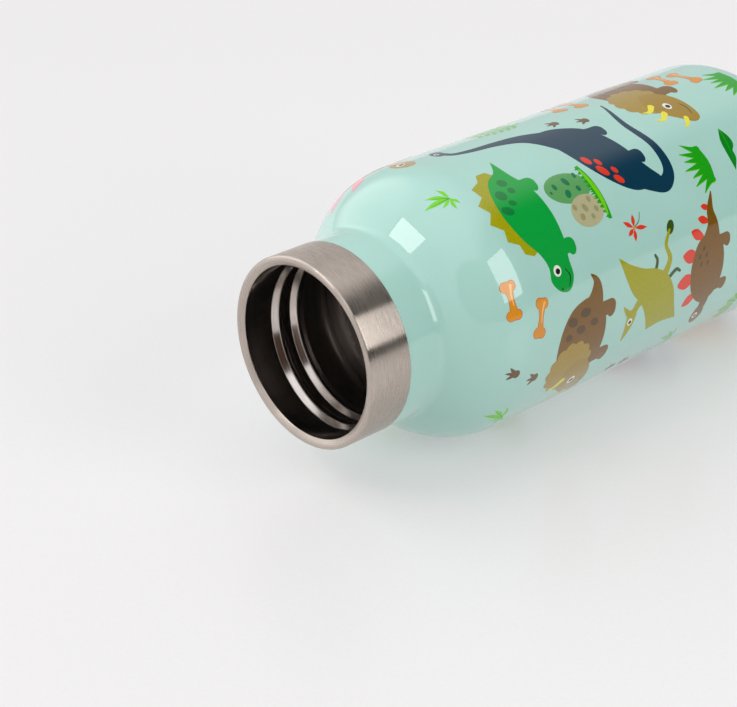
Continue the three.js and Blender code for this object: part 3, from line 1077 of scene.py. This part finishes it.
# Screen red, green and blue, and how strong the printed speckle is
INKS = {
    "navy": (2, 52, 74, 0.05),
    "green": (0, 158, 58, 0.03),
    "deep_green": (0, 122, 52, 0.04),
    "olive": (160, 158, 0, 0.1),
    "olive_dark": (48, 80, 14, 0.1),
    "brown": (118, 80, 0, 0.14),
    "deep_brown": (84, 58, 12, 0.12),
    "umber": (104, 78, 44, 0.1),
    "tan": (162, 134, 42, 0.12),
    "ochre": (156, 124, 16, 0.12),
    "sand": (178, 150, 100, 0.1),
    "orange": (218, 140, 26, 0.05),
    "peach": (240, 190, 112, 0.04),
    "rust": (176, 92, 16, 0.05),
    "red": (218, 56, 30, 0.05),
    "pink": (246, 146, 166, 0.04),
    "yellow": (230, 220, 40, 0.04),
    "lime": (112, 204, 8, 0.05),
    "grass": (24, 158, 16, 0.05),
    "leaf_dark": (0, 128, 24, 0.05),
    "fern": (120, 190, 100, 0.05),
    "stem": (96, 132, 96, 0.04),
    "egg_green": (92, 158, 92, 0.05),
    "egg_mark": (30, 118, 76, 0.05),
    "egg_beige": (176, 172, 134, 0.08),
    "egg_shade": (148, 146, 106, 0.08),
    "white": (232, 230, 222, 0.01),
    "black": (22, 20, 20, 0.02),
}


# ---------------------------------------------------------------- studio


FLOOR_GLOSS = {
    "Roughness": 0.3,
    "Specular IOR Level": 0.5,
    "Emission Color": (1.0, 0.985, 0.99, 1.0),
    "Emission Strength": 0.33,  # a faint light from below keeps the shadow pale
}


def studio_floor():
    """Seamless pale floor with a barely visible paper tooth."""
    steps = 96
    reach = 8.0
    turns = np.arange(steps) * (2 * math.pi / steps)
    rim = [(reach * math.cos(t), reach * math.sin(t), 0.0) for t in turns]
    mesh = bpy.data.meshes.new("studio_floor")
    mesh.from_pydata(rim, [], [list(range(steps))])
    made, tree, plug = shader("floor_white", FLOOR_GLOSS)
    tooth = noise(tree, 900, 3.0, 0.6)
    shade = ramp(tree, tooth, (0.48, 0.475, 0.478, 1), (0.5, 0.495, 0.498, 1), 0.3, 0.7)
    plug("Base Color", shade)
    mesh.materials.append(made)
    floor = bpy.data.objects.new("studio_floor", mesh)
    scene.collection.objects.link(floor)


def softbox(name, direction, distance, width, height, radiance, target):
    """A rectangular light that the camera can't see but glossy surfaces reflect."""
    lamp = bpy.data.lights.new(name, "AREA")
    lamp.shape = "RECTANGLE"
    lamp.size, lamp.size_y = width, height
    lamp.energy = radiance * math.pi * width * height
    made = bpy.data.objects.new(name, lamp)
    scene.collection.objects.link(made)
    away = Vector(direction).normalized()
    made.location = target + away * distance
    side = Vector((0, 0, 1)).cross(away).normalized()
    made.rotation_mode = "QUATERNION"
    axes = Matrix([side, away.cross(side), away])
    made.rotation_quaternion = axes.transposed().to_quaternion()
    made.visible_camera = False


SKY_DIRECTION = Vector((-0.4, -0.2, 0.89)).normalized()  # where the surroundings are brightest
WINDOW_DIRECTION = Vector((-0.2, 0.82, 0.5)).normalized()  # a bright panel behind the bottle
ROOM_DIRECTION = Vector((0.58, -0.77, 0.24)).normalized()  # the unlit side of the studio
ROOM_FLATTENING = 1.4  # how much wider than tall that side is
CORNER_DIRECTION = Vector((-0.4, -0.83, 0.4)).normalized()  # a brown corner of the room
SKY_LOW = (0.56, 0.555, 0.56, 1)
SKY_HIGH = (1.25, 1.24, 1.25, 1)
WINDOW_LIGHT = (1.8, 1.8, 1.8, 1)
ROOM_DARK = (0.03, 0.028, 0.026, 1)
CORNER_BROWN = (0.07, 0.042, 0.03, 1)
BACKDROP = (0.85, 0.845, 0.85, 1)


def lobe(tree, place, direction, edge, core):
    """A soft-edged disc of the surroundings: 0 outside it and 1 at its core."""
    towards = vector_maths(tree, "DOT_PRODUCT", place, direction, "Value")
    inputs = {"Value": towards, "From Min": edge, "From Max": core}
    return node(tree, "MapRange", inputs, interpolation_type="SMOOTHSTEP").outputs["Result"]


def mixed(tree, factor, colour, other):
    """One colour over the other by a factor."""
    return node(tree, "Mix", {0: factor, 6: colour, 7: other}, data_type="RGBA").outputs[2]


def studio_world():
    """Pale surroundings with a bright panel behind and a dark room on one side.

    They light the bottle. What shows over the floor's edge is an even backdrop.
    """
    world = bpy.data.worlds.new("studio")
    scene.world = world
    world.use_nodes = True
    tree = world.node_tree
    background = tree.nodes["Background"]
    place = node(tree, "TexCoord").outputs["Generated"]
    raised = vector_maths(tree, "MULTIPLY", place, (1, 1, ROOM_FLATTENING))
    flat = vector_maths(tree, "NORMALIZE", raised)
    above = vector_maths(tree, "DOT_PRODUCT", place, SKY_DIRECTION, "Value")
    window = lobe(tree, place, WINDOW_DIRECTION, 0.8, 0.93)
    room = lobe(tree, flat, ROOM_DIRECTION, 0.45, 0.66)
    corner = lobe(tree, place, CORNER_DIRECTION, 0.89, 0.93)
    glow = ramp(tree, above, SKY_LOW, SKY_HIGH, 0.1, 0.95)
    for share, colour in ((window, WINDOW_LIGHT), (room, ROOM_DARK), (corner, CORNER_BROWN)):
        glow = mixed(tree, share, glow, colour)
    seen = node(tree, "LightPath").outputs["Is Camera Ray"]
    backdrop = mixed(tree, seen, glow, BACKDROP)
    tree.links.new(backdrop, background.inputs["Color"])
    background.inputs["Strength"].default_value = 1.0


CAMERA_AZIMUTH = math.radians(-43.15)
CAMERA_ELEVATION = math.radians(27.36)
CAMERA_DISTANCE = 467.0
CAMERA_SIDE = 15.91  # how far right of the mouth's centre the camera aims
CAMERA_LENS = 93.54


def camera():
    """The photograph's viewpoint: low, close and looking into the mouth."""
    a, e = CAMERA_AZIMUTH, CAMERA_ELEVATION
    right = Vector((math.cos(a), math.sin(a), 0))
    ahead = Vector((-math.sin(a) * math.cos(e), math.cos(a) * math.cos(e), -math.sin(e)))
    mouth = Vector((RIM_X + 0.7 * MM, 0, AXIS_Z))
    data = bpy.data.cameras.new("camera")
    data.lens = CAMERA_LENS
    data.sensor_width = 36.0
    data.clip_start, data.clip_end = 0.01, 50
    made = bpy.data.objects.new("camera", data)
    scene.collection.objects.link(made)
    made.location = mouth + (right * CAMERA_SIDE - ahead * CAMERA_DISTANCE) * MM
    made.rotation_mode = "QUATERNION"
    made.rotation_quaternion = ahead.to_track_quat("-Z", "Y")
    scene.camera = made


# ---------------------------------------------------------------- assembly

MINT = srgb(167, 210, 199)
WARM_STEEL = (0.5, 0.435, 0.385, 1)
LINER_STEEL = (0.62, 0.58, 0.55, 1)

camera()
scene.view_settings.view_transform = "Standard"
scene.view_settings.look = "None"
studio_floor()
studio_world()
middle = Vector((0, 0, AXIS_Z))
KEY = {"direction": (0.222, -0.847, 0.482), "distance": 1.53, "width": 0.76, "height": 0.93}
TOP = {"direction": (-0.624, 0.247, 0.741), "distance": 1.55, "width": 0.68, "height": 0.2}
softbox("key_softbox", **KEY, radiance=4.3, target=middle)
softbox("top_strip", **TOP, radiance=6.0, target=middle)

shell_paint = paint("shell_paint", MINT)
ring_steel = steel("ring_steel", WARM_STEEL, rough=0.27, lines=5200, depth=0.006, anisotropy=1.0)
bore_steel = steel("liner_steel", LINER_STEEL, rough=0.16, lines=3000, depth=0.008, dull=0.24)
bottom_steel = steel("base_steel", WARM_STEEL, rough=0.26, lines=3600, depth=0.02)

piece(outer_shell(shell_paint), ["outer_shell"])
piece(mouth_ring(ring_steel), ["mouth_ring"])
piece(inner_liner(bore_steel), ["inner_liner"])
piece(liner_floor(bore_steel), ["liner_base"])
piece(base_cup(bottom_steel), ["outer_base"])
piece(base_disc(bottom_steel), ["base_cover"])

inks = {name: printed_ink("ink_" + name, *look) for name, look in INKS.items()}
for name, layers in {**front_prints(), **back_prints()}.items():
    piece(print_piece(name, layers, inks))

hidden_looks = {
    "radiation_foil": grainy("copper_foil", (0.72, 0.4, 0.26, 1), 0.3, 1.0, 600, 0.05),
    "getter_holder": grainy("holder_steel", (0.55, 0.54, 0.53, 1), 0.4, 1.0, 2000, 0.01),
    "getter_pellet": grainy("getter_powder", (0.1, 0.1, 0.1, 1), 0.8, 0.0, 3000, 0.03),
    "seal_bead": grainy("solder_glass", (0.05, 0.06, 0.07, 1), 0.2, 0.0, 1500, 0.01),
}
for name, look in hidden_looks.items():
    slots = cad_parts[name].data.materials
    slots.clear()
    slots.append(look)
